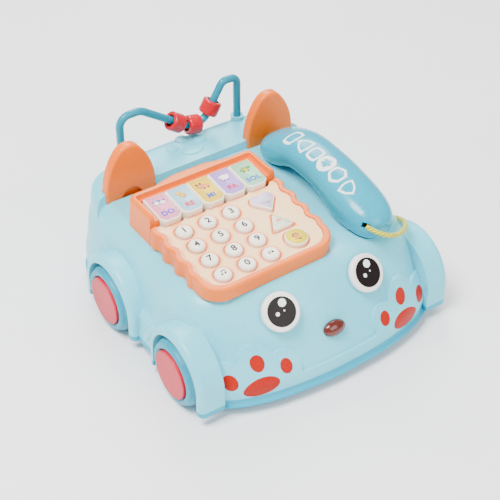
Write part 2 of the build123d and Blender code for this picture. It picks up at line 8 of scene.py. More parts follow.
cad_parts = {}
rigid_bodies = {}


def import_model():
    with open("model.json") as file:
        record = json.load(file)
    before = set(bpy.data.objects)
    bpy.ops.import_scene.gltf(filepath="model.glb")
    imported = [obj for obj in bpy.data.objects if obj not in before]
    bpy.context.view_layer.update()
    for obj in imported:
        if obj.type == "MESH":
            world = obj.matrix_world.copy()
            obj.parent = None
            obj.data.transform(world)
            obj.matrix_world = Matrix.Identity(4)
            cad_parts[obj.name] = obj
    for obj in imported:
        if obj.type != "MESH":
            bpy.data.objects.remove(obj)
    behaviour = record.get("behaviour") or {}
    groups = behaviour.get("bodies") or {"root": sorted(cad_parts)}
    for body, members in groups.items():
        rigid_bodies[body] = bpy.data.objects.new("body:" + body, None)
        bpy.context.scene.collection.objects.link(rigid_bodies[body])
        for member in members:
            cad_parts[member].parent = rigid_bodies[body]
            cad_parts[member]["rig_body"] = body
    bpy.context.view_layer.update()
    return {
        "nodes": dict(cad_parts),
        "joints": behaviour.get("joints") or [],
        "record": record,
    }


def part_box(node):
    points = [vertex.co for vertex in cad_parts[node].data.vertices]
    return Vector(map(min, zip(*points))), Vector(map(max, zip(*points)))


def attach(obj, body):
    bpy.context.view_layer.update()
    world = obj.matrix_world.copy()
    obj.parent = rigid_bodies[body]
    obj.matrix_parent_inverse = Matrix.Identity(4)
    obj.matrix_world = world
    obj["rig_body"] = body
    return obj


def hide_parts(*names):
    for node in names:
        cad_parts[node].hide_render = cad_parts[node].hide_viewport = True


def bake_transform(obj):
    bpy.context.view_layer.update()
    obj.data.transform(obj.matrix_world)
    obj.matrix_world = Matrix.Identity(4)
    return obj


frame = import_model()
nodes = frame["nodes"]
record = frame["record"]
print("frame loaded with", len(nodes), "nodes")

mm = 0.001  # metres in a millimetre


# a screen colour as the linear values that shaders take, by the usual display curve
def tint(red, green, blue):
    linear = []
    for value in (red, green, blue):
        share = value / 255
        linear.append(share / 12.92 if share <= 0.04045 else ((share + 0.055) / 1.055) ** 2.4)
    return (*linear, 1.0)


# one socket of a shader tree, so that shader maths reads as ordinary sums
class Signal:
    def __init__(self, tree, socket):
        self.tree = tree
        self.socket = socket

    def add(self, kind, settings=None, inputs=None, out=0):
        node = self.tree.nodes.new(kind)
        for key, value in (settings or {}).items():
            setattr(node, key, value)
        for key, value in (inputs or {}).items():
            if isinstance(value, Signal):
                self.tree.links.new(value.socket, node.inputs[key])
            else:
                node.inputs[key].default_value = value
        return Signal(self.tree, node.outputs[out])

    def maths(self, operation, first, second=0.0):
        return self.add("ShaderNodeMath", {"operation": operation}, {0: first, 1: second})

    def __add__(self, other):
        return self.maths("ADD", self, other)

    def __radd__(self, other):
        return self.maths("ADD", other, self)

    def __sub__(self, other):
        return self.maths("SUBTRACT", self, other)

    def __rsub__(self, other):
        return self.maths("SUBTRACT", other, self)

    def __mul__(self, other):
        return self.maths("MULTIPLY", self, other)

    def __rmul__(self, other):
        return self.maths("MULTIPLY", other, self)

    def __pow__(self, other):
        return self.maths("POWER", self, other)

    def noise(self, scale, detail=2.0):
        return self.add("ShaderNodeTexNoise", {}, {"Vector": self, "Scale": scale, "Detail": detail})

    def part(self, axis):
        return self.add("ShaderNodeSeparateXYZ", {}, {0: self}, out=axis)

    def bump(self, strength, depth):
        return self.add("ShaderNodeBump", {}, {"Strength": strength, "Distance": depth, "Height": self})

    def ramp(self, low, high, start=0.0, end=1.0):
        return self.add("ShaderNodeMapRange", {"interpolation_type": "SMOOTHSTEP"},
                        {0: self, 1: low, 2: high, 3: start, 4: end})

    def blend(self, first, second):
        return self.add("ShaderNodeMix", {"data_type": "RGBA"}, {0: self, 6: first, 7: second}, out=2)

    def wave(self):
        return self.maths("SINE", self)


def newMaterial(name):
    material = bpy.data.materials.new(name)
    material.use_nodes = True
    tree = material.node_tree
    shader = tree.nodes["Principled BSDF"]
    place = Signal(tree, tree.nodes.new("ShaderNodeTexCoord").outputs["Object"])
    return material, shader, place


def feed(shader, **signals):
    for key, value in signals.items():
        value.tree.links.new(value.socket, shader.inputs[key.replace("_", " ")])


def deeper(colour, share):
    return tuple(value * share for value in colour[:3]) + (1.0,)


plasticLook = {"cloud": 14.0, "fleck": 420.0, "glossPatch": 60.0, "shine": 0.36, "coatRough": 0.12,
               "grainScale": 1900.0, "grainDepth": 0.3 * mm, "rimBlur": 0.1 * mm}


# moulded plastic: cloudy tone, uneven gloss and a fine mould grain
def plastic(name, colour, deep=None, rough=0.3, grain=0.06, coat=0.0, inner=0.0, rim=None):
    material, shader, place = newMaterial(name)
    deep = deep or deeper(colour, 0.9)
    cloud = place.noise(plasticLook["cloud"], 3.0)
    fleck = place.noise(plasticLook["fleck"])
    tone = (cloud * 0.7 + fleck * 0.3).ramp(0.38, 0.64).blend(colour, deep)
    if rim:  # a height and the colour below it
        blur = plasticLook["rimBlur"]
        tone = place.part(2).ramp(rim[0] - blur, rim[0] + blur).blend(rim[1], tone)
    gloss = rough + (place.noise(plasticLook["glossPatch"]) - 0.5) * 0.12
    bump = place.noise(plasticLook["grainScale"]).bump(grain, plasticLook["grainDepth"])
    feed(shader, Base_Color=tone, Roughness=gloss, Normal=bump)
    shader.inputs["Specular IOR Level"].default_value = plasticLook["shine"]
    shader.inputs["Coat Weight"].default_value = coat
    shader.inputs["Coat Roughness"].default_value = plasticLook["coatRough"]
    shader.inputs["Subsurface Weight"].default_value = inner
    shader.inputs["Subsurface Radius"].default_value = (0.004, 0.003, 0.003)
    return material


inkLook = {"mottle": 650.0, "glossPatch": 300.0, "toothScale": 2500.0, "toothDepth": 0.1 * mm, "shine": 0.2}


# printed ink: thin even film with slight mottling
def ink(name, colour, rough=0.42):
    material, shader, place = newMaterial(name)
    tone = place.noise(inkLook["mottle"], 3.0).ramp(0.35, 0.7).blend(colour, deeper(colour, 0.86))
    gloss = rough + (place.noise(inkLook["glossPatch"]) - 0.5) * 0.1
    bump = place.noise(inkLook["toothScale"]).bump(0.05, inkLook["toothDepth"])
    feed(shader, Base_Color=tone, Roughness=gloss, Normal=bump)
    shader.inputs["Specular IOR Level"].default_value = inkLook["shine"]
    return material


metalLook = {"stain": 300.0, "glossPatch": 900.0, "scratch": 1500.0, "scratchDepth": 0.1 * mm}


# bare steel of the screws, axles and contacts
def metal(name, colour, rough=0.28):
    material, shader, place = newMaterial(name)
    tone = place.noise(metalLook["stain"], 4.0).ramp(0.3, 0.7).blend(colour, deeper(colour, 0.75))
    gloss = rough + (place.noise(metalLook["glossPatch"]) - 0.5) * 0.2
    bump = place.noise(metalLook["scratch"]).bump(0.1, metalLook["scratchDepth"])
    feed(shader, Base_Color=tone, Roughness=gloss, Normal=bump)
    shader.inputs["Metallic"].default_value = 1.0
    return material


shellColours = {"blue": tint(112, 212, 230), "blueDeep": tint(98, 204, 224),
                "teal": tint(0, 166, 196), "tealDeep": tint(0, 154, 186),
                "orange": tint(244, 116, 0), "orangeDeep": tint(238, 104, 0)}
finishes = {
    "body_blue": plastic("bodyBlue", shellColours["blue"], shellColours["blueDeep"], 0.3, 0.05,
                         rim=(13.0 * mm, shellColours["teal"])),
    "teal": plastic("baseTeal", shellColours["teal"], shellColours["tealDeep"], 0.3),
    "orange": plastic("warmOrange", shellColours["orange"], shellColours["orangeDeep"], 0.33),
    "eye_white": plastic("eyeWhite", tint(247, 245, 240), tint(240, 236, 230), 0.16, 0.02, 0.5),
    "nose_brown": plastic("noseBrown", tint(92, 24, 8), tint(76, 18, 6), 0.14, 0.02, 0.6),
    "wire_teal": plastic("wireTeal", tint(0, 140, 164), tint(0, 126, 150), 0.24, 0.03),
    "board_green": plastic("boardGreen", tint(40, 110, 62), tint(28, 90, 48), 0.5),
    "silicone": plastic("matSilicone", tint(224, 222, 214), tint(210, 208, 200), 0.6),
    "speaker_black": plastic("softBlack", tint(44, 44, 46), tint(30, 30, 32), 0.5),
    "steel": metal("plainSteel", tint(200, 200, 202)),
    "battery_case": plastic("cellWrap", tint(70, 96, 120), tint(54, 80, 104), 0.3),
    "handset_teal": plastic("handsetTeal", tint(0, 158, 184), tint(0, 146, 174), 0.22, 0.03, 0.15),
    "button_white": plastic("capWhite", tint(250, 243, 226), tint(243, 233, 210), 0.3, 0.04, 0.0, 0.04),
    "wheel_teal": plastic("wheelTeal", tint(0, 150, 176), tint(0, 136, 162), 0.36, 0.08),
    "hub_pink": plastic("hubPink", tint(204, 16, 48), tint(192, 12, 40), 0.38, 0.08),
    "bead_red": plastic("beadRed", tint(196, 2, 30), tint(182, 0, 24), 0.2, 0.03, 0.2),
}
for cap in ("heart", "triangle", "round"):
    finishes[cap + "_cap"] = finishes["button_white"]
for key in ("pink", "blue", "yellow", "lilac", "mint"):
    finishes["key_" + key] = finishes["button_white"]


# keypad face: peach in the open field, warming to orange close to the number holes
padLook = {"peach": tint(255, 210, 150), "peachDeep": tint(255, 200, 136), "wash": 30.0, "glow": 0.55,
           "glowFull": 7.2 * mm, "glowGone": 9.8 * mm}


# distance from the nearest hole along one axis, for holes that repeat at one step
def toNearest(distance, step):
    return distance.add("ShaderNodeMath", {"operation": "WRAP"}, {0: distance, 1: step / 2, 2: -step / 2})


def padFinish():
    material, shader, place = newMaterial("padPeach")
    middle = (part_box("button_5")[0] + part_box("button_5")[1]) / 2
    stepX = (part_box("button_6")[0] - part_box("button_5")[0]).x
    stepY = (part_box("button_2")[0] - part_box("button_5")[0]).y
    across = place.part(0) - middle.x
    nearX = toNearest(across, stepX)
    nearY = toNearest(place.part(1) - middle.y, stepY)
    reach = (nearX * nearX + nearY * nearY) ** 0.5
    inGrid = across.ramp(1.35 * stepX, 1.6 * stepX, 1.0, 0.0)  # none beside the shaped caps
    glow = reach.ramp(padLook["glowFull"], padLook["glowGone"], padLook["glow"], 0.0) * inGrid
    wash = place.noise(padLook["wash"], 3.0).ramp(0.35, 0.7).blend(padLook["peach"], padLook["peachDeep"])
    gloss = 0.36 + (place.noise(90.0) - 0.5) * 0.1
    bump = place.noise(plasticLook["grainScale"]).bump(0.05, plasticLook["grainDepth"])
    feed(shader, Base_Color=glow.blend(wash, shellColours["orange"]), Roughness=gloss, Normal=bump)
    return material


finishes["peach"] = padFinish()
finishes["cord_yellow"] = plastic("cordPlain", tint(206, 204, 2), tint(180, 176, 0), 0.6)
for row in record["subparts"]:
    shown = nodes[row["node"]]
    if len(shown.material_slots) == 0:
        shown.data.materials.append(None)
    for holder in shown.material_slots:
        holder.material = finishes[row["material_slot"]]
print("finishes given to the frame's nodes")

inks = {
    "digit": ink("inkGrey", tint(50, 42, 48)), "violet": ink("inkViolet", tint(60, 74, 196)),
    "red": ink("inkRed", tint(216, 10, 34)), "slate": ink("inkSlate", tint(56, 92, 180)),
    "crimson": ink("inkCrimson", tint(216, 6, 36)), "sky": ink("inkSky", tint(58, 108, 196)),
    "white": ink("inkWhite", tint(244, 250, 252), 0.3), "pupil": ink("inkPupil", tint(22, 14, 14), 0.3),
    "paw": ink("inkPaw", tint(176, 22, 0)), "pinkTop": ink("topPink", tint(252, 160, 190)),
    "blueTop": ink("topBlue", tint(176, 220, 242)), "yellowTop": ink("topYellow", tint(255, 214, 70)),
    "lilacTop": ink("topLilac", tint(190, 156, 236)), "mintTop": ink("topMint", tint(166, 226, 184)),
    "heartTop": ink("heartTop", tint(232, 212, 244)), "heartEdge": ink("heartEdge", tint(160, 136, 220)),
    "triangleTop": ink("triangleTop", tint(232, 240, 216)),
    "triangleEdge": ink("triangleEdge", tint(140, 206, 172)),
    "roundTop": ink("roundTop", tint(250, 224, 36)), "roundEdge": ink("roundEdge", tint(238, 200, 6)),
    "brown": ink("inkBrown", tint(84, 48, 40)), "skin": ink("inkPeach", tint(238, 142, 90)),
    "green": ink("inkGreen", tint(96, 170, 48)), "gold": ink("inkGold", tint(244, 196, 32)),
    "cloud": ink("inkCloud", tint(250, 248, 250)), "rose": ink("inkRose", tint(238, 150, 160)),
}


def jointNamed(name):
    return next(joint for joint in frame["joints"] if joint["name"] == name)


def bodyOf(node):
    return nodes[node]["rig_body"]


across = Vector((1, 0, 0))
padUp = -Vector(jointNamed("press_1")["axis"])  # the keypad leans back a little
padAlong = padUp.cross(across)
topSlack = {"seat": 0.02 * mm, "film": 0.03 * mm}  # how far below the highest point still counts as the top


# where a node's highest flat lies, as a matrix whose z is up
def topSeat(node, up, across):
    spots = [vert.co for vert in nodes[node].data.vertices]
    height = max(spot.dot(up) for spot in spots)
    level = [spot for spot in spots if spot.dot(up) > height - topSlack["seat"]]
    along = up.cross(across)
    wide = [spot.dot(across) for spot in level]
    deep = [spot.dot(along) for spot in level]
    centre = across * (min(wide) + max(wide)) / 2 + along * (min(deep) + max(deep)) / 2 + up * height
    seat = Matrix((across, along, up)).transposed().to_4x4()
    seat.translation = centre
    return seat


# turns a finished bmesh into a piece that moves with its body
def keep(name, bm, body, materials, smooth=False):
    mesh = bpy.data.meshes.new(name)
    bmesh.ops.recalc_face_normals(bm, faces=bm.faces)
    bm.to_mesh(mesh)
    bm.free()
    for material in materials:
        mesh.materials.append(material)
    piece = bpy.data.objects.new(name, mesh)
    bpy.context.scene.collection.objects.link(piece)
    if smooth:
        mesh.shade_smooth()
    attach(piece, body)
    return piece


letterLook = {"capShare": 0.72, "halfThick": 0.12 * mm}  # a capital's share of the font's size, its relief


def lettering(name, body, text, seat, height, finish, weight=0.0, space=1.0):
    curve = bpy.data.curves.new(name, "FONT")
    curve.body = text
    curve.align_x, curve.align_y = "CENTER", "CENTER"
    curve.size = height / letterLook["capShare"]
    curve.space_character = space
    curve.extrude = letterLook["halfThick"]
    curve.offset = weight  # thickens the strokes
    curve.resolution_u = 5
    stand = bpy.data.objects.new(name + "Curve", curve)
    bpy.context.scene.collection.objects.link(stand)
    bpy.context.view_layer.update()
    mesh = bpy.data.meshes.new_from_object(stand.evaluated_get(bpy.context.evaluated_depsgraph_get()))
    bpy.data.objects.remove(stand)
    bm = bmesh.new()
    bm.from_mesh(mesh)
    bmesh.ops.remove_doubles(bm, verts=bm.verts, dist=0.001 * mm)
    bmesh.ops.transform(bm, matrix=seat, verts=bm.verts)
    return keep(name, bm, body, [finish])


stampLook = {"thick": 0.3, "step": 0.03, "sunk": 0.2}


# flat printed marks in millimetres: (shape, x, y, width, height, turn, finish); later marks lie higher
def stamp(name, body, seat, marks):
    names = sorted({mark[-1] for mark in marks})
    bm = bmesh.new()
    for level, (shape, x, y, width, height, turn, finish) in enumerate(marks):
        thick = stampLook["thick"] + stampLook["step"] * level
        spot = Matrix.Translation((x, y, thick / 2 - stampLook["sunk"]))
        spot = spot @ Matrix.Rotation(radians(turn), 4, "Z") @ Matrix.Diagonal((width, height, thick, 1))
        if shape == "bar":
            made = bmesh.ops.create_cube(bm, size=1.0, matrix=spot)
        else:
            sides = 3 if shape == "wedge" else 28
            made = bmesh.ops.create_cone(bm, cap_ends=True, segments=sides, radius1=0.5, radius2=0.5,
                                         depth=1.0, matrix=spot)
        for face in {face for vert in made["verts"] for face in vert.link_faces}:
            face.material_index = names.index(finish)
    bmesh.ops.transform(bm, matrix=seat @ Matrix.Scale(mm, 4), verts=bm.verts)
    return keep(name, bm, body, [inks[key] for key in names])


filmThick = 0.09 * mm


# the flat top of a cap as a printed film, with an outline ring of its own colour
def film(name, node, up, finish, edge=None, ring=0.0):
    bm = bmesh.new()
    bm.from_mesh(nodes[node].data)
    bmesh.ops.remove_doubles(bm, verts=bm.verts, dist=0.002 * mm)
    floorOfTop = max(vert.co.dot(up) for vert in bm.verts) - topSlack["film"]
    low = [face for face in bm.faces if min(vert.co.dot(up) for vert in face.verts) < floorOfTop]
    bmesh.ops.delete(bm, geom=low, context="FACES")
    bmesh.ops.dissolve_faces(bm, faces=bm.faces[:])
    if ring:
        around = bmesh.ops.inset_region(bm, faces=bm.faces[:], thickness=ring, use_even_offset=True)
        for face in around["faces"]:
            face.material_index = 1
    block = bmesh.ops.extrude_face_region(bm, geom=bm.faces[:], use_keep_orig=True)
    raised = [item for item in block["geom"] if isinstance(item, bmesh.types.BMVert)]
    bmesh.ops.translate(bm, vec=up * filmThick, verts=raised)
    return keep(name, bm, bodyOf(node), [finish] + ([edge] if edge else []))


# numbers and signs on the round caps
capLook = {"digitHeight": 5.2 * mm, "weight": 0.2 * mm}
for digit in "0123456789":
    node = "button_" + digit
    lettering("digit_" + digit, bodyOf(node), digit, topSeat(node, padUp, across), capLook["digitHeight"],
              inks["digit"], capLook["weight"])
stamp("sign_melody", bodyOf("button_melody"), topSeat("button_melody", padUp, across), [
    ("disc", -1.5, -1.2, 1.7, 1.3, 15, "digit"), ("bar", -0.8, 0.3, 0.42, 3.2, 0, "digit"),
    ("disc", 1.2, -0.8, 1.7, 1.3, 15, "digit"), ("bar", 1.9, 0.6, 0.42, 3.0, 0, "digit"),
    ("bar", 0.55, 1.9, 3.1, 0.7, 6, "digit")])
stamp("sign_mode", bodyOf("button_mode"), topSeat("button_mode", padUp, across), [
    ("bar", -1.9, 0, 0.5, 2.6, 0, "digit"), ("bar", -1.0, 0, 0.5, 2.6, 0, "digit"),
    ("wedge", 1.1, 0, 3.0, 2.8, 0, "digit")])
print("number caps printed")

# keys: a coloured top film, the note's name near the front and a small picture behind it
keyLook = {"nameShift": -6.6, "picShift": 4.6, "nameHeight": 4.4 * mm, "nameWeight": 0.22 * mm,
           "nameSpace": 1.08}
filmLift = Matrix.Translation((0, 0, filmThick))
keyPlan = [
    ("pinkTop", "DO", "violet", [
        ("disc", -2.2, 0.6, 4.6, 4.0, 0, "brown"), ("disc", -2.2, 0.6, 4.0, 3.4, 0, "cloud"),
        ("disc", 2.2, -0.4, 5.0, 4.4, 0, "brown"), ("disc", 2.2, -0.4, 4.4, 3.8, 0, "cloud"),
        ("disc", -3.9, 2.5, 1.6, 1.6, 0, "slate"), ("disc", -0.6, 2.5, 1.6, 1.6, 0, "slate"),
        ("disc", 0.7, 1.9, 1.6, 1.6, 0, "slate"), ("disc", 3.9, 1.8, 1.6, 1.6, 0, "slate"),
        ("disc", -2.9, 0.8, 0.5, 0.6, 0, "digit"), ("disc", -1.5, 0.8, 0.5, 0.6, 0, "digit"),
        ("disc", 1.5, -0.2, 0.5, 0.6, 0, "digit"), ("disc", 3.0, -0.2, 0.5, 0.6, 0, "digit")]),
    ("blueTop", "RE", "red", [
        ("disc", 0.3, -1.4, 5.4, 3.6, 12, "brown"), ("disc", 0.3, -1.4, 4.9, 3.1, 12, "gold"),
        ("disc", -1.4, 1.8, 4.0, 4.0, 0, "brown"), ("disc", -1.4, 1.8, 3.5, 3.5, 0, "gold"),
        ("wedge", -1.9, 1.2, 1.5, 1.3, 180, "rose"), ("disc", -0.8, 2.2, 0.5, 0.6, 0, "digit"),
        ("disc", 1.3, -1.3, 2.0, 1.4, 20, "skin"), ("bar", -0.3, -3.6, 0.4, 1.4, 0, "brown"),
        ("bar", 1.1, -3.6, 0.4, 1.4, 0, "brown")]),
    ("yellowTop", "MI", "slate", [
        ("disc", 0.6, -0.8, 7.6, 4.0, 0, "brown"), ("disc", 0.6, -0.8, 7.1, 3.5, 0, "skin"),
        ("disc", -2.2, 0.9, 4.2, 3.8, 0, "brown"), ("disc", -2.2, 0.9, 3.7, 3.3, 0, "skin"),
        ("disc", -3.8, 2.6, 1.3, 2.2, 25, "brown"), ("disc", -0.8, 2.8, 1.3, 2.2, -25, "brown"),
        ("disc", -2.5, 0.3, 1.6, 1.1, 0, "rose"), ("disc", -3.2, 1.5, 0.5, 0.6, 0, "digit"),
        ("disc", -1.5, 1.5, 0.5, 0.6, 0, "digit"), ("bar", 3.0, -3.0, 0.7, 1.2, 0, "brown"),
        ("bar", -0.6, -3.0, 0.7, 1.2, 0, "brown")]),
    ("lilacTop", "FA", "crimson", [
        ("disc", 0.2, -0.2, 8.2, 5.2, 0, "brown"), ("disc", -2.4, 1.0, 3.6, 3.4, 0, "brown"),
        ("disc", 2.4, 1.2, 3.6, 3.2, 0, "brown"), ("disc", 0.2, -0.2, 7.6, 4.6, 0, "cloud"),
        ("disc", -2.4, 1.0, 3.1, 2.9, 0, "cloud"), ("disc", 2.4, 1.2, 3.1, 2.7, 0, "cloud"),
        ("disc", 0.0, 1.6, 3.2, 2.4, 0, "cloud"), ("disc", -3.3, -0.6, 2.0, 1.8, 0, "skin"),
        ("disc", -3.6, -0.3, 0.4, 0.5, 0, "digit"), ("bar", -1.4, -3.0, 0.5, 1.2, 0, "brown"),
        ("bar", 1.8, -3.0, 0.5, 1.2, 0, "brown")]),
    ("mintTop", "SOL", "sky", [
        ("disc", -0.4, 0.0, 6.6, 4.2, 0, "brown"), ("disc", -0.4, 0.0, 6.1, 3.7, 0, "green"),
        ("disc", 3.4, 1.0, 2.6, 2.2, 0, "brown"), ("disc", 3.4, 1.0, 2.1, 1.7, 0, "green"),
        ("disc", 0.3, -0.9, 3.0, 1.6, 0, "gold"), ("wedge", -4.0, -0.6, 2.0, 1.3, 200, "green"),
        ("disc", -1.6, 0.9, 1.1, 0.9, 0, "gold"), ("disc", 0.6, 1.1, 1.1, 0.9, 0, "gold"),
        ("disc", 3.8, 1.3, 0.45, 0.5, 0, "digit"), ("bar", -2.0, -2.4, 0.9, 1.0, 0, "brown"),
        ("bar", 1.6, -2.4, 0.9, 1.0, 0, "brown")]),
]
for number, (topInk, noteName, noteInk, picture) in enumerate(keyPlan, 1):
    node = f"piano_key_{number}"
    film(f"key_film_{number}", node, padUp, inks[topInk])
    seat = topSeat(node, padUp, across) @ filmLift
    nameSeat = seat @ Matrix.Translation((0, keyLook["nameShift"] * mm, 0))
    lettering(f"key_name_{number}", bodyOf(node), noteName, nameSeat, keyLook["nameHeight"], inks[noteInk],
              keyLook["nameWeight"], keyLook["nameSpace"])
    picSeat = seat @ Matrix.Translation((0, keyLook["picShift"] * mm, 0))
    stamp(f"key_picture_{number}", bodyOf(node), picSeat, picture)
print("keys printed")

# the three large caps
film("heart_film", "heart_button", padUp, inks["heartTop"], inks["heartEdge"], 0.5 * mm)
film("triangle_film", "triangle_button", padUp, inks["triangleTop"], inks["triangleEdge"], 0.5 * mm)
film("round_film", "round_button", padUp, inks["roundTop"], inks["roundEdge"], 1.0 * mm)
stamp("heart_picture", bodyOf("heart_button"), topSeat("heart_button", padUp, across) @ filmLift, [
    ("disc", 0, 1.5, 2.4, 1.6, 0, "mintTop"), ("bar", 0, -1.2, 6.0, 0.25, 0, "violet"),
    ("bar", 1.4, -2.4, 2.4, 0.3, 0, "digit")])
stamp("triangle_picture", bodyOf("triangle_button"), topSeat("triangle_button", padUp, across) @ filmLift, [
    ("disc", 0, -0.4, 4.4, 3.6, 0, "skin"), ("bar", 0, -1.8, 6.0, 1.8, 0, "triangleTop"),
    ("disc", -2.2, -2.2, 0.7, 0.7, 0, "slate"), ("disc", -0.7, -2.2, 0.6, 0.6, 0, "rose"),
    ("disc", 0.8, -2.2, 0.6, 0.6, 0, "green"), ("disc", 2.3, -2.2, 0.7, 0.7, 0, "slate")])
stamp("round_picture", bodyOf("round_button"), topSeat("round_button", padUp, across) @ filmLift, [
    ("disc", 0, 1.0, 5.2, 4.6, 0, "brown"), ("disc", 0, 0.6, 4.2, 3.6, 0, "skin"),
    ("disc", -0.8, 0.6, 0.5, 0.6, 0, "digit"), ("disc", 0.8, 0.6, 0.5, 0.6, 0, "digit"),
    ("bar", 0, -2.3, 5.0, 0.4, 0, "red"), ("bar", 1.0, -3.4, 2.2, 0.5, 0, "digit")])
print("large caps printed")


# eyes: dark disc with three white dots on the flat of the white cap
eyeLook = {"tilt": 40.0, "turn": 8.0, "pupil": 20.4,
           "dots": [(1.9, 5.7, 5.7), (-3.2, -0.8, 2.8), (1.9, 0.3, 1.2)]}
for side, word in ((-1, "left"), (1, "right")):
    turn, tilt = radians(eyeLook["turn"]) * side, radians(eyeLook["tilt"])
    eyeUp = Vector((sin(turn) * cos(tilt), -cos(turn) * cos(tilt), sin(tilt)))
    seat = topSeat("eye_" + word, eyeUp, Vector((cos(turn), sin(turn), 0)))
    marks = [("disc", 0, 0, eyeLook["pupil"], eyeLook["pupil"], 0, "pupil")]
    marks += [("disc", x, y, size, size, 0, "white") for x, y, size in eyeLook["dots"]]
    stamp("pupil_" + word, "body", seat, marks)
print("eyes finished")


# a node's surface, for marks and webs that follow it
def surfaceOf(node):
    mesh = nodes[node].data
    points = [vert.co for vert in mesh.vertices]
    return BVHTree.FromPolygons(points, [face.vertices for face in mesh.polygons])


# lays a flat shape on a surface along the facing matrix's -z, as a thin film
def layOn(name, body, surface, facing, bm, finish, lift=0.15 * mm, thick=0.5 * mm):
    ray = facing.to_3x3() @ Vector((0, 0, -1))
    for vert in bm.verts:
        start = facing @ vert.co
        hit = surface.ray_cast(start, ray)[0]
        vert.co = start if hit is None else hit - ray * lift
    block = bmesh.ops.extrude_face_region(bm, geom=bm.faces[:], use_keep_orig=True)
    sunk = [item for item in block["geom"] if isinstance(item, bmesh.types.BMVert)]
    bmesh.ops.translate(bm, vec=ray * thick, verts=sunk)
    return keep(name, bm, body, [finish], True)


# a round patch made of small quads, so that it can follow a curved surface
def disc(bm, width, height, turn, x, y):
    made = bmesh.ops.create_grid(bm, x_segments=18, y_segments=18, size=1.0)
    for vert in made["verts"]:
        flatX, flatY, _ = vert.co
        vert.co = (flatX * (1 - flatY * flatY / 2) ** 0.5, flatY * (1 - flatX * flatX / 2) ** 0.5, 0)
    spot = Matrix.Translation((x, y, 0)) @ Matrix.Rotation(radians(turn), 4, "Z")
    spot = spot @ Matrix.Diagonal((width / 2, height / 2, 1, 1))
    bmesh.ops.transform(bm, matrix=spot, verts=made["verts"])


# front paws: three toes and a palm in flat paint; x and z of each, then width, height and tilt
pawLook = {"toes": [(41.4, 30.2, 8.4, 9.4, 0), (59.9, 36.4, 9.6, 10.6, 0), (79.5, 27.2, 9.0, 10.4, 0)],
           "palm": (60.5, 20.6, 25.0, 13.6, -9)}
shellSurface = surfaceOf("upper_shell")
fromFront = Matrix(((1, 0, 0, 0), (0, 0, -1, -0.2), (0, 1, 0, 0), (0, 0, 0, 1)))  # looks back along +y
for side, word in ((-1, "left"), (1, "right")):
    for number, (x, z, width, height, lean) in enumerate(pawLook["toes"] + [pawLook["palm"]]):
        bm = bmesh.new()
        disc(bm, width * mm, height * mm, side * lean, side * x * mm, z * mm)
        layOn(f"paw_{word}_{number}", "body", shellSurface, fromFront, bm, inks["paw"])
print("paws painted")


# small webs that close the shell's opening at the keypad's two front corners
webLook = {"padMiddle": (-26.5, -30.0, 86.1), "across": 46.5, "along": -34.0, "leg": 9.5, "lap": 0.8,
           "sink": 0.12, "thick": 1.2, "probes": [(2.0, 2.0), (2.0, -4.0), (-4.0, 2.0)], "probeHeight": 30.0}
padSeat = Matrix((across, padAlong, padUp)).transposed().to_4x4()
padSeat.translation = Vector(webLook["padMiddle"]) * mm
for side, word in ((-1, "left"), (1, "right")):
    found = []  # three points of the shell just outside the corner give the web's plane
    for outX, outY in webLook["probes"]:
        spot = Vector((side * (webLook["across"] + outX), webLook["along"] - outY, webLook["probeHeight"]))
        found.append(shellSurface.ray_cast(padSeat @ (spot * mm), -padUp)[0])
    level = (found[1] - found[0]).cross(found[2] - found[0]).normalized()
    bm = bmesh.new()
    corners = []
    for stepX, stepY in ((0, 0), (webLook["leg"], 0), (0, webLook["leg"])):
        cornerX = side * (webLook["across"] + webLook["lap"] - stepX)
        cornerY = webLook["along"] - webLook["lap"] + stepY
        spot = padSeat @ (Vector((cornerX, cornerY, 0)) * mm)
        drop = (found[0] - spot).dot(level) / padUp.dot(level)
        corners.append(bm.verts.new(spot + padUp * (drop - webLook["sink"] * mm)))
    bm.faces.new(corners)
    block = bmesh.ops.extrude_face_region(bm, geom=bm.faces[:], use_keep_orig=True)
    sunk = [item for item in block["geom"] if isinstance(item, bmesh.types.BMVert)]
    bmesh.ops.translate(bm, vec=-padUp * webLook["thick"] * mm, verts=sunk)
    keep("corner_web_" + word, bm, "body", [finishes["body_blue"]])
print("opening corners closed")


# raised paw on the back step, in the shell's own plastic
stepPaw = {"rise": 0.9, "root": 0.6, "soft": 0.45,
           "marks": [(-11.8, 90.3, 9.6, 9.0, 10), (0.0, 96.6, 9.8, 9.0, 0), (12.2, 90.3, 9.6, 9.0, -10),
                     (0.3, 81.2, 17.0, 12.0, 0)]}
bm = bmesh.new()
stepTop = max(vert.co.z for vert in nodes["upper_shell"].data.vertices) / mm
for x, y, width, height, lean in stepPaw["marks"]:
    middle = stepTop + (stepPaw["rise"] - stepPaw["root"]) / 2
    spot = Matrix.Translation((x, y, middle)) @ Matrix.Rotation(radians(lean), 4, "Z")
    spot = spot @ Matrix.Diagonal((width, height, stepPaw["rise"] + stepPaw["root"], 1))
    bmesh.ops.create_cone(bm, cap_ends=True, segments=48, radius1=0.5, radius2=0.49, depth=1.0, matrix=spot)
upper = stepTop + 0.5 * stepPaw["rise"]
rims = [edge for edge in bm.edges if all(vert.co.z > upper for vert in edge.verts)]
bmesh.ops.bevel(bm, geom=rims, offset=stepPaw["soft"], offset_type="OFFSET", affect="EDGES", segments=3,
                profile=0.5, material=-1)
bmesh.ops.transform(bm, matrix=Matrix.Scale(mm, 4), verts=bm.verts)
keep("step_paw", bm, "body", [finishes["body_blue"]], True)
print("step paw raised")


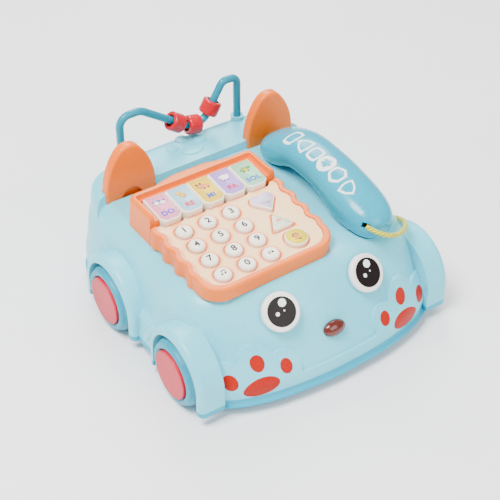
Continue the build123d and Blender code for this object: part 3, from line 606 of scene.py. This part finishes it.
# handset print: a row of plain outline shapes along its back; sides, middle x and y, radius, squash, turn
rowLook = {"inner": 0.72, "round": 0.35, "points": 120, "shapes": [
    (4, 51.2, 25.6, 9.6, 0.62, 45), (3, 51.0, 11.4, 8.2, 0.9, 90), (4, 51.0, -1.2, 7.8, 0.85, 45),
    (40, 51.2, -13.8, 7.4, 0.9, 0), (6, 51.0, -27.0, 7.4, 0.9, 0), (3, 50.0, -40.4, 7.6, 0.9, -90)]}
starLook = {"rays": 5, "tip": 0.82, "notch": 0.3}
handsetSurface = surfaceOf("handset_top")
fromAbove = Matrix.Translation((0, 0, 0.2))


# pulls a circle's points in to a polygon with softened corners
def squareOff(points, sides, soft):
    for point in points:
        angle = point.co.xy.angle_signed(Vector((1, 0))) % (2 * pi / sides) - pi / sides
        point.co *= soft + (1 - soft) * cos(pi / sides) / cos(angle)


for number, (sides, x, y, size, squash, turn) in enumerate(rowLook["shapes"]):
    bm = bmesh.new()
    rings = []
    for share in (1.0, 0.93, 0.86, 0.79, rowLook["inner"]):
        ring = bmesh.ops.create_circle(bm, segments=rowLook["points"], radius=share * size * mm)["verts"]
        squareOff(ring, sides, rowLook["round"])
        rings.append(ring)
    if sides == 40:  # the round one has a star for its hole
        halfRay = rowLook["points"] / starLook["rays"] / 2
        for count, point in enumerate(rings[-1]):
            point.co *= starLook["tip"] - starLook["notch"] * abs(count % (2 * halfRay) - halfRay) / halfRay
    for outer, inner in zip(rings, rings[1:]):
        pair = set(outer), set(inner)
        between = [edge for edge in bm.edges if any(set(edge.verts) <= ring for ring in pair)]
        bmesh.ops.bridge_loops(bm, edges=between)
    seat = Matrix.Translation((x * mm, y * mm, 0)) @ Matrix.Diagonal((1, squash, 1, 1))
    bmesh.ops.transform(bm, matrix=seat @ Matrix.Rotation(radians(turn), 4, "Z"), verts=bm.verts)
    layOn(f"handset_mark_{number}", "handset", handsetSurface, fromAbove, bm, inks["white"])
print("handset printed")


# cord: limp braided line from the side gland, over the right shoulder and up into the handset's end
# the groove colour is painted shade for the hollows of the braid, and the fleck colour is a painted sheen
# for the strand crests
cordLook = {"thick": 3.4 * mm, "strands": 4, "turns": 52, "grooveShade": tint(128, 124, 0),
            "rib": tint(206, 204, 2), "fleck": tint(232, 230, 50),
            "bodyHolds": (0.098, 0.0, 0.050), "handsetHolds": (0.050, -0.074, 0.086)}
cordWay = [(93.0, 10.0, 60.5), (103.5, 10.5, 60.0), (110.5, 10.3, 52.5), (112.5, 7.5, 44.0),
           (113.0, 0.0, 35.0), (110.0, -11.0, 32.0), (104.5, -21.0, 37.5), (99.5, -29.5, 46.5),
           (96.0, -38.5, 54.8), (93.5, -48.0, 60.5), (88.5, -58.5, 67.5), (79.5, -69.5, 73.8),
           (70.5, -76.5, 77.8), (61.5, -79.5, 80.8), (53.0, -78.8, 84.4), (47.2, -72.2, 87.0),
           (46.0, -67.8, 87.6)]


def cordMesh(bevel):
    curve = bpy.data.curves.new("cordLine", "CURVE")
    curve.dimensions = "3D"
    spline = curve.splines.new("NURBS")
    spline.points.add(len(cordWay) - 1)
    for point, spot in zip(spline.points, cordWay):
        point.co = (*(value * mm for value in spot), 1.0)
    spline.order_u = 3  # set once the points are there
    spline.use_endpoint_u = True
    curve.resolution_u = 14
    curve.bevel_depth = bevel
    curve.bevel_resolution = 7
    curve.use_fill_caps = True
    stand = bpy.data.objects.new("cordStand", curve)
    bpy.context.scene.collection.objects.link(stand)
    bpy.context.view_layer.update()
    mesh = bpy.data.meshes.new_from_object(stand.evaluated_get(bpy.context.evaluated_depsgraph_get()))
    bpy.data.objects.remove(stand)
    return mesh


# two crossing sets of strands, with painted shade darkening the grooves between them and a painted sheen as
# a pale streak along the crest of each strand
def cordFinish():
    material, shader, place = newMaterial("cordBraid")
    chart = place.add("ShaderNodeUVMap", {"uv_map": "UVMap"})
    along, around = chart.part(0), chart.part(1)
    left = ((along * cordLook["turns"] + around * cordLook["strands"]) * (2 * pi)).wave()
    right = ((along * cordLook["turns"] - around * cordLook["strands"]) * (2 * pi)).wave()
    rib = place.maths("MAXIMUM", left, right)
    # painted shade: the colour darkens where the strands dip into the grooves
    tone = rib.ramp(-0.4, 0.9).blend(cordLook["grooveShade"], cordLook["rib"])
    # painted sheen: a pale streak along the crest of each strand
    sheenedTone = (left - right).ramp(0.2, 1.4).blend(tone, cordLook["fleck"])
    feed(shader, Base_Color=sheenedTone, Roughness=0.62 + rib * 0.08, Normal=rib.bump(0.7, 0.4 * mm))
    shader.inputs["Sheen Weight"].default_value = 0.2
    return material


line = cordMesh(0.0)
tube = cordMesh(cordLook["thick"] / 2)
tube.name = "cordTube"
tube.materials.clear()
tube.materials.append(cordFinish())
tube.shade_smooth()
cordPiece = bpy.data.objects.new("cord_braid", tube)
bpy.context.scene.collection.objects.link(cordPiece)
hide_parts("cord")
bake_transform(cordPiece)


# floor, lights and camera
view = {"place": (-0.4124, -0.6085, 0.6492), "back": (-0.430, -0.640, 0.637), "lens": 96.0}
sky = {"colour": (1.0, 1.0, 0.99, 1.0), "strength": 0.8}
bm = bmesh.new()
bmesh.ops.create_grid(bm, x_segments=1, y_segments=1, size=3.0)
floorMesh = bpy.data.meshes.new("floor")
bm.to_mesh(floorMesh)
bm.free()
floorMaterial, floorShader, floorPlace = newMaterial("paleFloor")
floorTone = floorPlace.noise(6.0).ramp(0.3, 0.7).blend(tint(250, 250, 250), tint(246, 247, 248))
feed(floorShader, Base_Color=floorTone, Roughness=0.7 + floorPlace.noise(40.0) * 0.1)
floorMesh.materials.append(floorMaterial)
floor = bpy.data.objects.new("floor", floorMesh)
bpy.context.scene.collection.objects.link(floor)

lamps = {"key": ((-0.6, -0.1, 1.35), 0.6, 40.0), "fill": ((0.2, -1.3, 0.9), 1.0, 12.0),
         "back": ((0.5, 0.9, 1.1), 0.7, 18.0)}  # place, size in metres, watts
aim = Vector((0, 0, 0.06))
for word, (spot, size, power) in lamps.items():
    data = bpy.data.lights.new(word, "AREA")
    data.size = size
    data.energy = power
    lamp = bpy.data.objects.new(word, data)
    lamp.location = spot
    lamp.rotation_mode = "QUATERNION"
    lamp.rotation_quaternion = (aim - Vector(spot)).to_track_quat("-Z", "Y")
    bpy.context.scene.collection.objects.link(lamp)
world = bpy.data.worlds.new("studio")
world.use_nodes = True
world.node_tree.nodes["Background"].inputs["Color"].default_value = sky["colour"]
world.node_tree.nodes["Background"].inputs["Strength"].default_value = sky["strength"]
bpy.context.scene.world = world

cameraData = bpy.data.cameras.new("view")
cameraData.lens = view["lens"]
cameraData.sensor_width = 36.0
cameraData.clip_start = 0.05
camera = bpy.data.objects.new("view", cameraData)
camera.location = view["place"]
camera.rotation_mode = "QUATERNION"
camera.rotation_quaternion = (-Vector(view["back"])).to_track_quat("-Z", "Y")
bpy.context.scene.collection.objects.link(camera)
bpy.context.scene.camera = camera
print("floor, lights and camera set")
